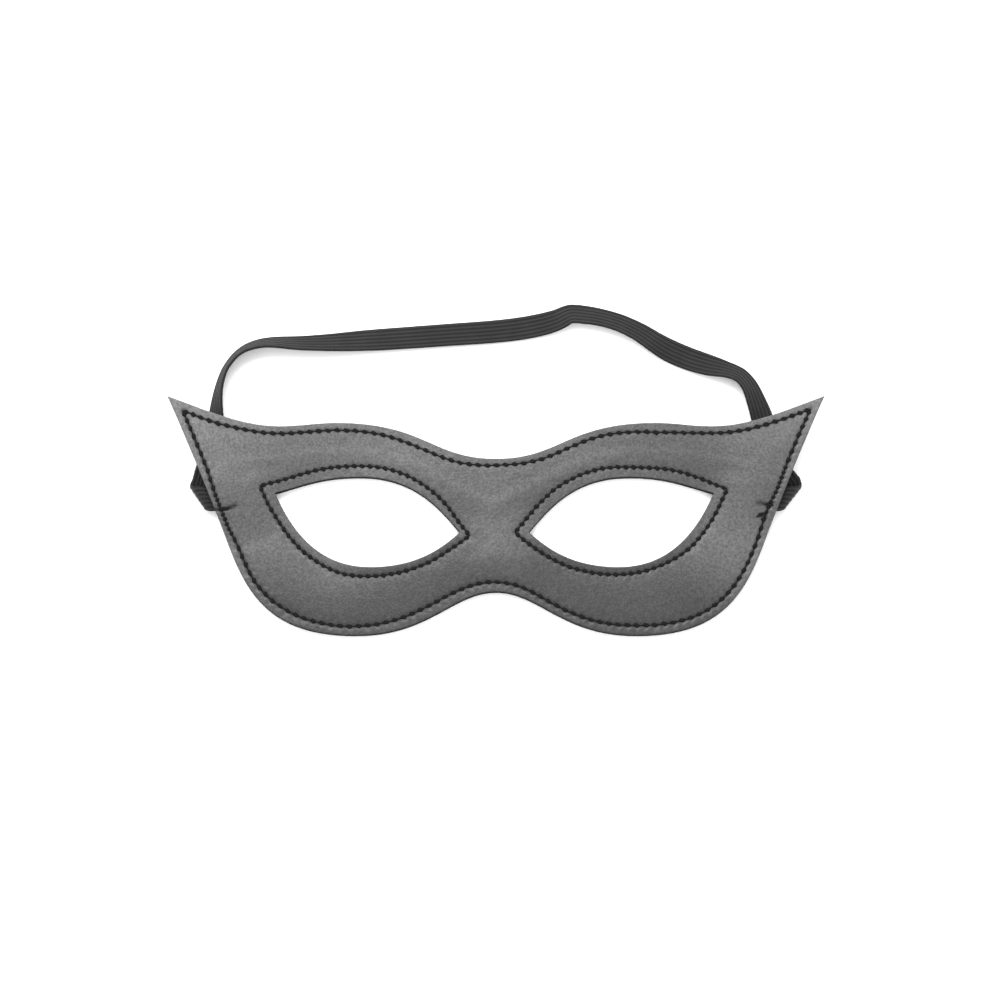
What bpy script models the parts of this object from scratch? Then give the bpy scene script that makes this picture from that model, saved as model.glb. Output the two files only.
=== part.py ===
"""Cat-eye mask of two leather plies with an elastic head strap, lying face up.

Metres. +X runs to the right, +Y towards the brow and +Z out of the mask's face.
The origin is on the table, under the middle of the nose bridge. Each end of the
strap is held between the plies, folds under at the side seam and runs up beneath
the wing, which it lifts off the table, to the loop that goes round the head.
"""
import math

import bmesh
import bpy
from mathutils import Matrix, Vector
from mathutils.geometry import interpolate_bezier

# Mask outline and eye holes
MASK_WIDTH = 0.2153
MASK_HEIGHT = 0.078
EYE_LENGTH = 0.0605
EYE_HEIGHT = 0.0301
EYE_GAP = 0.0226
EYE_SHIFT = -0.0005
EYE_DROP = 0.0026

# Plies
FRONT_THICKNESS = 0.0015
BACK_THICKNESS = 0.0009
CLEARANCE = 0.0003

# Strap
STRAP_WIDTH = 0.008
STRAP_THICKNESS = 0.001
TAB_RISE = 0.0083
TAB_HELD = 0.010
TAB_REACH_LEFT = 0.0018
TAB_REACH_RIGHT = 0.0011
LOOP_RISE = 0.034

# Fineness of the surfaces
PANEL_CELL = 0.0045
SPLINE_STEPS = 8
ROW_PITCH = 0.0026
STRAP_COLUMNS = 3
FOLD_STEPS = 8
TAB_STEPS = 4
TURN_STEPS = 3

# Half outline, from the top of the bridge round the tip to the bridge's underside.
# Columns: x as a share of half the width, y as a share of the height, heading in and
# heading out in degrees, handle in and handle out as shares of half the width.
OUTLINE_KNOTS = (
    (0.000, 0.283, 0, 0, 0.195, 0.195),
    (0.467, 0.4315, 0, 0, 0.257, 0.083),
    (0.670, 0.411, 0, 0, 0.074, 0.111),
    (1.000, 0.529, 20, 245, 0.120, 0.185),
    (0.807, -0.1026, 249, 249, 0.167, 0.194),
    (0.4215, -0.469, 180, 180, 0.218, 0.222),
    (0.000, -0.286, 180, 180, 0.130, 0.130),
)

# Eye hole, from its inner corner over the top and back.
# Columns: x and y from the inner corner as shares of the hole's length and height,
# headings in and out in degrees, handles in and out as shares of the length.
EYE_KNOTS = (
    (0.000, 0.000, 138, 50, 0.116, 0.165),
    (0.540, 0.615, 0, 0, 0.298, 0.198),
    (1.000, 0.4286, -17, 246, 0.182, 0.248),
    (0.483, -0.385, 180, 180, 0.264, 0.264),
)

# Lift of the wings: how far along the wing it starts and ends, and what makes up
# that distance, as shares of half the width and of the height.
LIFT_WIDTH_SHARE = 0.572
LIFT_HEIGHT_SHARE = 0.661
LIFT_START_SHARE = 0.36
LIFT_END_SHARE = 0.95

# Strap beneath a wing, from the fold to the mask's top edge, on the left and, turned
# over, on the right. Columns: x as a share of half the width, y as a share of the
# height, roll in degrees with the inner edge up.
UNDER_LEFT_WING = (
    (0.884, 0.231, 8),
    (0.872, 0.295, 17),
    (0.863, 0.359, 28),
    (0.858, 0.423, 39),
    (0.857, 0.481, 50),
)
UNDER_RIGHT_WING = (
    (0.871, 0.229, 6),
    (0.853, 0.292, 10),
    (0.837, 0.355, 14),
    (0.823, 0.415, 17),
    (0.814, 0.473, 19),
)
RUN_HEADING_LEFT = 70
RUN_HEADING_RIGHT = 77

# Loop behind the mask, from left to right. Columns: x as a share of half the width,
# rise above the brow line as a share of the loop's rise, roll in degrees.
LOOP = (
    (-0.854, 0.147, 61),
    (-0.846, 0.294, 67),
    (-0.828, 0.450, 68),
    (-0.794, 0.588, 64),
    (-0.751, 0.668, 58),
    (-0.694, 0.702, 52),
    (-0.602, 0.699, 40),
    (-0.510, 0.710, 29),
    (-0.387, 0.740, 14),
    (-0.264, 0.769, 9),
    (-0.141, 0.799, 7),
    (-0.019, 0.828, 5),
    (0.074, 0.862, 4),
    (0.150, 0.909, 7),
    (0.196, 0.954, 16),
    (0.230, 1.000, 23),
    (0.274, 0.991, 25),
    (0.320, 0.966, 28),
    (0.381, 0.909, 28),
    (0.443, 0.816, 24),
    (0.490, 0.721, 16),
    (0.535, 0.641, 5),
    (0.596, 0.556, 4),
    (0.659, 0.485, 15),
    (0.706, 0.438, 32),
    (0.750, 0.377, 38),
    (0.779, 0.268, 37),
    (0.797, 0.135, 30),
)
BROW_LINE_SHARE = 0.481

HALF_WIDTH = MASK_WIDTH / 2


def clear_scene():
    """Remove every object that the scene holds."""
    for old in list(bpy.data.objects):
        bpy.data.objects.remove(old, do_unlink=True)


def collection(name):
    """Make a collection and link it to the scene."""
    made = bpy.data.collections.new(name)
    bpy.context.scene.collection.children.link(made)
    return made


def material(name, colour, roughness):
    """A Principled material of one colour and roughness."""
    made = bpy.data.materials.new(name)
    made.use_nodes = True
    shader = made.node_tree.nodes["Principled BSDF"]
    shader.inputs["Base Color"].default_value = (*colour, 1.0)
    shader.inputs["Roughness"].default_value = roughness
    shader.inputs["Metallic"].default_value = 0.0
    return made


def smooth_step(share):
    """A share held between 0 and 1 and eased at both ends."""
    held = min(max(share, 0.0), 1.0)
    return held * held * (3.0 - 2.0 * held)


def direction(degrees):
    """Unit vector in the table's plane at a heading from +X."""
    angle = math.radians(degrees)
    return Vector((math.cos(angle), math.sin(angle), 0.0))


# Lift of the wings

def lift_share(x, y):
    """Share of the tip's lift that the mask has at a point."""
    along = LIFT_WIDTH_SHARE * abs(x) / HALF_WIDTH + LIFT_HEIGHT_SHARE * y / MASK_HEIGHT
    return smooth_step((along - LIFT_START_SHARE) / (LIFT_END_SHARE - LIFT_START_SHARE))


def strap_height(roll):
    """Height of the strap's raised edge above the table at a roll in degrees."""
    angle = math.radians(roll)
    return STRAP_WIDTH * math.sin(angle) + STRAP_THICKNESS * math.cos(angle)


def tip_lift():
    """Lift of the tips that lets the rolled strap out under the top edge."""
    x_share, y_share, roll = UNDER_LEFT_WING[-1]
    share = lift_share(x_share * HALF_WIDTH, y_share * MASK_HEIGHT)
    return (strap_height(roll) + 2.0 * CLEARANCE) / share


TIP_LIFT = tip_lift()


def underside(x, y):
    """Height of the back ply's underside."""
    return TIP_LIFT * lift_share(x, y)


def lift_normal(x, y):
    """Unit normal of the lifted underside."""
    step = PANEL_CELL / 10
    slope_x = (underside(x + step, y) - underside(x - step, y)) / (2 * step)
    slope_y = (underside(x, y + step) - underside(x, y - step)) / (2 * step)
    return Vector((-slope_x, -slope_y, 1.0)).normalized()


# Outline

def outline_knots():
    """Knots of the whole mask outline as places, headings and handle lengths."""
    half = [
        (Vector((x * HALF_WIDTH, y * MASK_HEIGHT, 0.0)), turn_in, turn_out,
         handle_in * HALF_WIDTH, handle_out * HALF_WIDTH)
        for x, y, turn_in, turn_out, handle_in, handle_out in OUTLINE_KNOTS
    ]
    mirrored = [
        (Vector((-place.x, place.y, 0.0)), -turn_out, -turn_in, handle_out, handle_in)
        for place, turn_in, turn_out, handle_in, handle_out in reversed(half[1:-1])
    ]
    return half + mirrored


def eye_knots(side):
    """Knots of one eye hole; side is 1 on the right and -1 on the left."""
    corner = Vector((EYE_GAP / 2 + side * EYE_SHIFT, -EYE_DROP, 0.0))
    knots = [
        (corner + Vector((x * EYE_LENGTH, y * EYE_HEIGHT, 0.0)), turn_in, turn_out,
         handle_in * EYE_LENGTH, handle_out * EYE_LENGTH)
        for x, y, turn_in, turn_out, handle_in, handle_out in EYE_KNOTS
    ]
    if side > 0:
        return knots
    return [
        (Vector((-place.x, place.y, 0.0)), -turn_out, -turn_in, handle_out, handle_in)
        for place, turn_in, turn_out, handle_in, handle_out in reversed(knots)
    ]


def add_spline(curve, knots):
    """Add a closed Bezier spline through knots to a curve."""
    spline = curve.splines.new("BEZIER")
    spline.bezier_points.add(len(knots) - 1)
    spline.use_cyclic_u = True
    spline.resolution_u = SPLINE_STEPS
    for point, (place, turn_in, turn_out, handle_in, handle_out) in zip(
            spline.bezier_points, knots):
        point.handle_left_type = "FREE"
        point.handle_right_type = "FREE"
        point.co = place
        point.handle_left = place - direction(turn_in) * handle_in
        point.handle_right = place + direction(turn_out) * handle_out


def seam_x(y):
    """Distance of the mask's side edge from the middle at a height above the origin."""
    tip, side = outline_knots()[3:5]
    edge = interpolate_bezier(
        tip[0], tip[0] + direction(tip[2]) * tip[4],
        side[0] - direction(side[1]) * side[3], side[0], SPLINE_STEPS * 4)
    return min(edge, key=lambda point: abs(point.y - y)).x


def outline_cutter(cutters):
    """Upright prism with the mask's outline and its two eye holes."""
    deepest = 2 * (TIP_LIFT + FRONT_THICKNESS + BACK_THICKNESS + STRAP_THICKNESS)
    curve = bpy.data.curves.new("mask_outline", "CURVE")
    curve.dimensions = "2D"
    curve.fill_mode = "BOTH"
    curve.extrude = deepest
    add_spline(curve, outline_knots())
    add_spline(curve, eye_knots(1))
    add_spline(curve, eye_knots(-1))
    drawn = bpy.data.objects.new("mask_outline_curve", curve)
    cutters.objects.link(drawn)
    bpy.context.view_layer.update()
    evaluated = drawn.evaluated_get(bpy.context.evaluated_depsgraph_get())
    mesh = bpy.data.meshes.new_from_object(evaluated)
    welded = bmesh.new()
    welded.from_mesh(mesh)
    bmesh.ops.remove_doubles(welded, verts=welded.verts, dist=0.00001)
    welded.to_mesh(mesh)
    welded.free()
    cutter = bpy.data.objects.new("mask_outline", mesh)
    cutter.matrix_world = drawn.matrix_world
    bpy.data.objects.remove(drawn, do_unlink=True)
    cutter.hide_render = True
    cutter.display_type = "WIRE"
    cutters.objects.link(cutter)
    return cutter


# Plies

def tab_bulge(x, y):
    """Rise of the front ply where the strap's end lies under it."""
    inward = seam_x(TAB_RISE) - TAB_HELD - PANEL_CELL - abs(x)
    beside = abs(y - TAB_RISE) - STRAP_WIDTH / 2 - CLEARANCE
    away = math.hypot(max(inward, 0.0), max(beside, 0.0))
    full = STRAP_THICKNESS + CLEARANCE
    return full * (1.0 - smooth_step(away / STRAP_WIDTH))


def ply(name, depth, thickness, bulge, cutter, parts, finish):
    """One ply: a sheet draped over the strap, cut to the outline.

    Depth is how far its underside stands off the back ply's underside.
    """
    row_pitch = STRAP_WIDTH / 2 + CLEARANCE
    columns = 2 * math.ceil(HALF_WIDTH / PANEL_CELL) + 3
    low_row = math.floor((-MASK_HEIGHT - TAB_RISE) / row_pitch)
    high_row = math.ceil((MASK_HEIGHT - TAB_RISE) / row_pitch)
    rows = high_row - low_row
    middle = TAB_RISE + row_pitch * (high_row + low_row) / 2
    sheet = bmesh.new()
    placed = Matrix.Translation((0.0, middle, 0.0)) @ Matrix.Diagonal(
        (columns * PANEL_CELL, rows * row_pitch, 1.0, 1.0))
    bmesh.ops.create_grid(
        sheet, x_segments=columns, y_segments=rows, size=0.5, matrix=placed)
    for vertex in sheet.verts:
        x, y = vertex.co.x, vertex.co.y
        rise = depth + (tab_bulge(x, y) if bulge else 0.0)
        vertex.co.z = underside(x, y)
        vertex.co += lift_normal(x, y) * rise
    mesh = bpy.data.meshes.new(name)
    sheet.to_mesh(mesh)
    sheet.free()
    made = bpy.data.objects.new(name, mesh)
    made.data.materials.append(finish)
    parts.objects.link(made)
    thick = made.modifiers.new("thickness", "SOLIDIFY")
    thick.thickness = thickness
    thick.offset = 1.0
    cut = made.modifiers.new("outline", "BOOLEAN")
    cut.operation = "INTERSECT"
    cut.object = cutter
    cut.solver = "EXACT"
    return made


# Strap

def smooth_route(stations):
    """Points about a row's pitch apart on a smooth curve through stations."""
    route = []
    last = len(stations) - 1
    for index in range(last):
        before = stations[max(index - 1, 0)]
        start, end = stations[index], stations[index + 1]
        after = stations[min(index + 2, last)]
        steps = max(1, round((end - start).xy.length / ROW_PITCH))
        for step in range(steps):
            t = step / steps
            route.append(0.5 * (
                2.0 * start + (end - before) * t
                + (2.0 * before - 5.0 * start + 4.0 * end - after) * t * t
                + (3.0 * start - before - 3.0 * end + after) * t * t * t))
    route.append(stations[last])
    return route


def strap_section(centre, heading, roll):
    """Straight section across the strap, outer edge on the table, inner edge up."""
    angle = math.radians(roll)
    inner = Vector((heading.y, -heading.x, 0.0)) * math.cos(angle)
    inner.z = math.sin(angle)
    middle = Vector((centre.x, centre.y, strap_height(roll) / 2))
    shares = [column / STRAP_COLUMNS - 0.5 for column in range(STRAP_COLUMNS + 1)]
    return [middle + inner * STRAP_WIDTH * share for share in shares]


def between(first, second, share):
    """Section part of the way from one section to another."""
    return [a.lerp(b, share) for a, b in zip(first, second)]


def held_end(run_heading, reach):
    """Sections of a left end: the tab between the plies and the fold under it."""
    crease = direction(run_heading / 2 - 90)
    outward = Vector((crease.y, -crease.x, 0.0))
    onward = -crease * (crease.x / -outward.x)
    edge = seam_x(TAB_RISE)
    axis_middle = Vector((-edge - reach, TAB_RISE, 0.0))
    tab_depth = BACK_THICKNESS + CLEARANCE + STRAP_THICKNESS / 2
    table_level = STRAP_THICKNESS / 2
    radius = (underside(edge, TAB_RISE) + tab_depth - table_level) / 2
    axis = []
    for column in range(STRAP_COLUMNS + 1):
        lateral = STRAP_WIDTH * (0.5 - column / STRAP_COLUMNS)
        axis.append(axis_middle + crease * (lateral / crease.y))
    rows = []
    for step in range(TAB_STEPS):
        share = step / TAB_STEPS
        row = []
        for on_axis in axis:
            x = (1.0 - share) * (TAB_HELD - edge) + share * on_axis.x
            over = Vector((x, on_axis.y, 0.0))
            held = max(x, -seam_x(on_axis.y))
            over.z = underside(held, over.y)
            row.append(over + lift_normal(held, over.y) * tab_depth)
        rows.append(row)
    for step in range(FOLD_STEPS + 1):
        turn = math.pi * step / FOLD_STEPS
        row = []
        for on_axis in axis:
            seam = seam_x(on_axis.y)
            top = underside(seam, on_axis.y) + tab_depth
            place = on_axis + outward * radius * math.sin(turn)
            place += onward * radius * turn
            place.z = table_level + (top - table_level) * (1.0 + math.cos(turn)) / 2
            row.append(place)
        rows.append(row)
    return rows


def turned_over(point):
    """The same point on the other side of the mask."""
    return Vector((-point.x, point.y, point.z))


def strap_sections():
    """Sections of the whole strap, from its left end to its right end."""
    left_end = held_end(RUN_HEADING_LEFT, TAB_REACH_LEFT)
    right_end = [
        [turned_over(point) for point in row]
        for row in held_end(RUN_HEADING_RIGHT, TAB_REACH_RIGHT)]
    stations = [
        Vector((-x * HALF_WIDTH, y * MASK_HEIGHT, roll)) for x, y, roll in UNDER_LEFT_WING]
    stations += [
        Vector((x * HALF_WIDTH, BROW_LINE_SHARE * MASK_HEIGHT + rise * LOOP_RISE, roll))
        for x, rise, roll in LOOP]
    stations += [
        Vector((x * HALF_WIDTH, y * MASK_HEIGHT, roll))
        for x, y, roll in reversed(UNDER_RIGHT_WING)]
    route = smooth_route(stations)
    last = len(route) - 1
    free = []
    for index, station in enumerate(route):
        ahead = route[min(index + 1, last)] - route[max(index - 1, 0)]
        heading = Vector((ahead.x, ahead.y, 0.0)).normalized()
        free.append(strap_section(station, heading, station.z))
    sections = left_end
    for step in range(1, TURN_STEPS):
        sections.append(between(left_end[TAB_STEPS + FOLD_STEPS], free[0], step / TURN_STEPS))
    sections += free
    for step in range(1, TURN_STEPS):
        sections.append(between(free[-1], right_end[-1], step / TURN_STEPS))
    return sections + right_end[::-1]


def strap(parts, finish):
    """The elastic strap: a sheet along its sections, given its thickness."""
    sections = strap_sections()
    sheet = bmesh.new()
    grid = [[sheet.verts.new(point) for point in row] for row in sections]
    for row, ahead in zip(grid, grid[1:]):
        for column in range(STRAP_COLUMNS):
            sheet.faces.new(
                (row[column], row[column + 1], ahead[column + 1], ahead[column]))
    mesh = bpy.data.meshes.new("elastic_strap")
    sheet.to_mesh(mesh)
    sheet.free()
    made = bpy.data.objects.new("elastic_strap", mesh)
    made.data.materials.append(finish)
    parts.objects.link(made)
    thick = made.modifiers.new("thickness", "SOLIDIFY")
    thick.thickness = STRAP_THICKNESS
    thick.offset = 0.0
    return made


def build():
    """Model the mask."""
    clear_scene()
    parts = collection("cat_eye_mask")
    cutters = collection("cutters")
    leather = material("black_leather", (0.075, 0.075, 0.077), 0.45)
    lining = material("dark_lining", (0.02, 0.02, 0.021), 0.8)
    elastic = material("black_elastic", (0.025, 0.025, 0.026), 0.75)
    cutter = outline_cutter(cutters)
    ply("back_panel", 0.0, BACK_THICKNESS, False, cutter, parts, lining)
    ply("front_panel", BACK_THICKNESS + CLEARANCE, FRONT_THICKNESS, True, cutter, parts,
        leather)
    strap(parts, elastic)


build()
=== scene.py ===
import math

import bmesh
import bpy
import numpy as np
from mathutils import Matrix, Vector
from mathutils.geometry import delaunay_2d_cdt
from mathutils.kdtree import KDTree


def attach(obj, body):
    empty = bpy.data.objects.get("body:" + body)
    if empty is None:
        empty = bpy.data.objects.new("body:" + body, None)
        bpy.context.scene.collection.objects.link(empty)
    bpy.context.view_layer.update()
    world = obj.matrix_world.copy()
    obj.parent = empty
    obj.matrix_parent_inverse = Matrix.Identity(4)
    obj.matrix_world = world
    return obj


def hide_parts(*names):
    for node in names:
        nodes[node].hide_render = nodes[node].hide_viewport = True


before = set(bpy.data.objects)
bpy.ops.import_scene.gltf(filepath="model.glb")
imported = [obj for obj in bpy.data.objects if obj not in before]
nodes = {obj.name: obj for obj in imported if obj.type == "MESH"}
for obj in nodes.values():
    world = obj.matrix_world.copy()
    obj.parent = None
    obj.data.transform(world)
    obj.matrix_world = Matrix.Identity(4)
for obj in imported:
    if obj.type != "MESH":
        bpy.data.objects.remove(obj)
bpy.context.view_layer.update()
rng = np.random.default_rng(11)

MM = 0.001

# Plies
GAP_CLOSED = 0.00027          # how far the front ply's underside comes down to the back ply
FRONT_THICKNESS = 0.00177
BACK_THICKNESS = 0.0009
FRONT_ROUND = 0.00022         # radius of the rolled top edge
BACK_ROUND = 0.00018

# Rows of stitches, one to each side of the outline and of the eye holes. The sides run
# anticlockwise: outline top, outline bottom, then the top and bottom of each eye.
# Columns: share of the row, distance from the edge in mm.
SEAMS = (
    ((0.00, 2.5), (0.10, 2.4), (0.16, 2.25), (0.19, 2.6), (0.235, 3.2), (0.28, 2.7),
     (0.32, 2.4), (0.42, 2.6), (0.485, 2.15), (0.53, 2.5), (0.56, 2.9), (0.64, 3.0),
     (0.69, 2.6), (0.80, 2.4), (0.90, 2.4), (0.95, 2.9), (1.00, 2.8)),
    ((0.00, 2.7), (0.07, 2.5), (0.10, 1.8), (0.135, 1.9), (0.16, 2.8), (0.205, 2.6),
     (0.25, 3.2), (0.30, 3.0), (0.32, 2.7), (0.41, 3.5), (0.45, 3.5), (0.52, 3.0),
     (0.56, 2.5), (0.65, 3.15), (0.75, 2.9), (0.84, 2.35), (0.885, 2.9), (0.91, 2.25),
     (0.95, 2.6), (1.00, 2.5)),
    ((0.00, 1.7), (0.08, 1.8), (0.12, 2.2), (0.16, 2.6), (0.25, 2.9), (0.35, 3.2),
     (0.48, 3.6), (0.61, 3.6), (0.75, 3.5), (0.90, 3.4), (1.00, 3.4)),
    ((0.00, 3.6), (0.07, 3.6), (0.10, 3.4), (0.15, 3.2), (0.35, 3.1), (0.47, 3.4),
     (0.55, 3.1), (0.70, 2.6), (0.86, 2.3), (0.90, 2.4), (0.95, 2.8), (1.00, 3.4)),
    ((0.00, 2.5), (0.04, 2.6), (0.09, 3.2), (0.17, 3.6), (0.27, 3.6), (0.34, 3.2),
     (0.42, 3.2), (0.52, 3.6), (0.68, 3.7), (0.75, 3.9), (0.80, 3.7), (0.92, 3.5),
     (1.00, 3.5)),
    ((0.00, 3.3), (0.06, 2.9), (0.10, 2.75), (0.17, 2.65), (0.42, 2.5), (0.55, 2.3),
     (0.64, 2.6), (0.70, 3.1), (0.76, 3.4), (0.90, 3.5), (1.00, 3.5)),
)
TIP_LEAD = 0.0063             # how far from a tip the row begins, along the edge
EYE_LEAD = -0.0030            # and how far past an eye's corner
SEAM = 0.0028                 # a usual distance from the edge

# Length of one stitch
PITCH_TIP = 0.0024
PITCH_OUTER = 0.0030
PITCH_EYE = 0.00255
PITCH_RUN_IN = 0.012
# Where the machine ran slowly over the strap's ends, on the bottom row.
# Columns: start and end along the row and length of a stitch, in mm.
SLOW = ((29.5, 43.0, 1.65), (257.0, 273.0, 1.75))

# Relief of the leather
GROOVE_DEPTH = 0.00020
GROOVE_WIDTH = 0.00060
PUFF = 0.00034
PUFF_RUN = 0.0014
BAND_PUFF = 0.00026
BAND_RUN = 0.0009
SCALLOP = 0.00008
CROWN = 0.00055               # rise of the wide fields between the rows
CROWN_RUN = 0.0080            # beside every row
CROWN_FALL = 0.0065           # beside the outline's lower row
CROWN_WIDTHS = (0.010, 0.021) # fields narrower than this have none, and wider all of it
# How much of the puff inside and outside each row, of its scallops and of its groove, in
# the rows' order
ROW_PUFFS = ((0.15, -0.30, 0.05, 0.30), (0.80, 1.55, 1.45, 1.00), (0.80, 0.20, 0.15, 0.45),
             (0.90, 0.90, 1.00, 0.90), (0.80, 0.20, 0.15, 0.45), (0.90, 0.90, 1.00, 0.90))

# Creases at the lower edge of each strap end. Columns: side, start and end as mm in from
# the mask's edge and mm above the strap's lower edge, width and depth in mm.
CREASES = (
    (-1, (-0.5, 0.2), (5.4, 0.6), 0.60, 0.50),
    (-1, (4.0, 0.5), (8.8, 2.1), 0.80, 0.46),
    (1, (1.8, 1.6), (5.0, 2.1), 0.55, 0.45),
    (1, (3.6, 1.9), (8.2, 2.5), 0.62, 0.46),
    (1, (2.8, -0.5), (6.6, -2.4), 0.45, 0.26),
)
# Soft lumps over the strap's ends. Columns: side, mm in and mm up as above, radius and
# height in mm.
LUMPS = ((-1, 3.6, 4.2, 2.1, 0.20), (1, 5.6, 4.6, 1.9, 0.12))
# Back-tacks: side, start and end as above, in mm.
TACKS = (
    (-1, (1.2, 0.2), (5.2, 1.0)),
    (1, (1.9, 1.6), (4.6, 2.1)),
    (1, (3.2, -0.6), (5.9, -2.1)),
)

# Spots of painted light, where the leather's colour is made paler to stand in for light falling there:
# place, reach and how much.
PAINTED_LIGHT_SPOTS = (((0.079, -0.006, 0.004), 0.027, 0.72), ((-0.080, -0.006, 0.004), 0.025, 0.38),
                ((0.0, -0.002, 0.003), 0.019, 0.46), ((0.052, -0.023, 0.003), 0.022, 0.06),
                ((-0.056, -0.014, 0.003), 0.018, 0.28), ((-0.082, 0.028, 0.006), 0.026, 0.14),
                ((0.084, 0.028, 0.006), 0.026, 0.20), ((-0.045, 0.024, 0.003), 0.030, 0.12))

# Strap
RIBS = 6
RIB_DEPTH = 0.00020
STRAP_THICKNESS = 0.001


# ---- Small helpers

def ease(low, high, x):
    """0 below low, 1 above high, smooth between."""
    t = np.clip((x - low) / (high - low), 0.0, 1.0)
    return t * t * (3.0 - 2.0 * t)


def bell(x, width):
    return np.exp(-(x / width) ** 2)


def waves(points, length, seed, count=14):
    """Smooth noise of about unit size, with features of the given length."""
    draw = np.random.default_rng(seed)
    angle = draw.uniform(0.0, 2.0 * math.pi, count)
    k = 2.0 * math.pi / (length * draw.uniform(0.7, 1.6, count))
    turn = draw.uniform(0.0, 2.0 * math.pi, count)
    total = np.zeros(len(points))
    for a, f, t in zip(angle, k, turn):
        total += np.sin((points[:, 0] * math.cos(a) + points[:, 1] * math.sin(a)) * f + t)
    return total / math.sqrt(count / 2.0)


def welded(node):
    """The node's mesh with its split corners joined."""
    mesh = bmesh.new()
    mesh.from_mesh(nodes[node].data)
    bmesh.ops.remove_doubles(mesh, verts=mesh.verts, dist=1e-6)
    mesh.normal_update()
    mesh.verts.ensure_lookup_table()
    return mesh


def lengths(line):
    """Distance along a line at each of its points."""
    gaps = np.linalg.norm(np.diff(line, axis=0), axis=1)
    return np.concatenate([[0.0], np.cumsum(gaps)])


def curve_through(line, at):
    """Points at given distances on a smooth curve through the points of an open line."""
    run = lengths(line)
    tangent = np.gradient(line, run, axis=0, edge_order=2 if len(line) > 2 else 1)
    index = np.clip(np.searchsorted(run, at, side="right") - 1, 0, len(run) - 2)
    gap = (run[index + 1] - run[index])[:, None]
    t = (at[:, None] - run[index][:, None]) / gap
    t2, t3 = t * t, t * t * t
    return ((2 * t3 - 3 * t2 + 1) * line[index] + (t3 - 2 * t2 + t) * gap * tangent[index]
            + (3 * t2 - 2 * t3) * line[index + 1] + (t3 - t2) * gap * tangent[index + 1])


def even(line, pitch):
    """An open line resampled evenly at about a pitch."""
    run = lengths(line)
    count = max(2, int(round(run[-1] / pitch)) + 1)
    at = np.linspace(0.0, run[-1], count)
    return np.stack([np.interp(at, run, line[:, i]) for i in range(line.shape[1])], axis=1)


def inside(points, loop):
    """Which points lie inside a closed loop, seen from above."""
    found = np.zeros(len(points), bool)
    a, b = loop, np.roll(loop, -1, axis=0)
    for start in range(0, len(points), 4000):
        x = points[start:start + 4000, 0][:, None]
        y = points[start:start + 4000, 1][:, None]
        across = (a[None, :, 1] > y) != (b[None, :, 1] > y)
        with np.errstate(divide="ignore", invalid="ignore"):
            cut = a[None, :, 0] + (y - a[None, :, 1]) * (b - a)[None, :, 0] / (b - a)[None, :, 1]
        found[start:start + 4000] = (across & (x < cut)).sum(axis=1) % 2 == 1
    return found


def tree_of(points):
    tree = KDTree(len(points))
    for index, (x, y) in enumerate(points):
        tree.insert((x, y, 0.0), index)
    tree.balance()
    return tree


def nearest(tree, points):
    """Distance to, and index of, the nearest point of a tree."""
    found = [tree.find((x, y, 0.0)) for x, y in points]
    return np.array([f[2] for f in found]), np.array([f[1] for f in found])


# ---- Shape of the plies, read from the frame

def rim_loops(node):
    """The node's top rim as closed loops of corners in plan, the longest first."""
    mesh = welded(node)
    links = {}
    for edge in mesh.edges:
        if len(edge.link_faces) != 2:
            continue
        up = [face.normal.z for face in edge.link_faces]
        if max(up) > 0.5 and min(abs(n) for n in up) < 0.3:
            a, b = (v.index for v in edge.verts)
            links.setdefault(a, []).append(b)
            links.setdefault(b, []).append(a)
    loops, left = [], set(links)
    while left:
        loop = [min(left)]
        left.discard(loop[0])
        while True:
            ahead = [n for n in links[loop[-1]] if n in left]
            if not ahead:
                break
            loop.append(ahead[0])
            left.discard(ahead[0])
        loops.append(np.array([mesh.verts[i].co[:2] for i in loop]))
    mesh.free()
    return sorted(loops, key=lambda loop: -np.ptp(loop[:, 0]))


def turns(loop):
    """Turn in degrees at each corner of a closed loop."""
    before = loop - np.roll(loop, 1, axis=0)
    after = np.roll(loop, -1, axis=0) - loop
    cross = before[:, 0] * after[:, 1] - before[:, 1] * after[:, 0]
    dot = (before * after).sum(axis=1)
    return np.degrees(np.arctan2(cross, dot))


def smooth_sides(loop):
    """The loop's sides between its sharp corners, anticlockwise, as fine smooth lines."""
    area = np.sum(loop[:, 0] * np.roll(loop[:, 1], -1) - loop[:, 1] * np.roll(loop[:, 0], -1))
    if area < 0:
        loop = loop[::-1]
    for _ in range(4):
        loop = loop[np.abs(turns(loop)) > 0.12]
    corners = np.flatnonzero(np.abs(turns(loop)) > 40.0)
    first = corners[np.argmax(loop[corners, 0])]
    loop = np.roll(loop, -first, axis=0)
    corners = np.sort((corners - first) % len(loop))
    sides = []
    for start, end in zip(corners, list(corners[1:]) + [len(loop)]):
        side = np.vstack([loop, loop[:1]])[start:end + 1]
        run = lengths(side)[-1]
        sides.append(even(curve_through(side, np.linspace(0.0, run, int(run / 0.00005))), 0.0001))
    return sides


def headings(line):
    step = np.gradient(line, axis=0)
    return step / np.linalg.norm(step, axis=1)[:, None]


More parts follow.
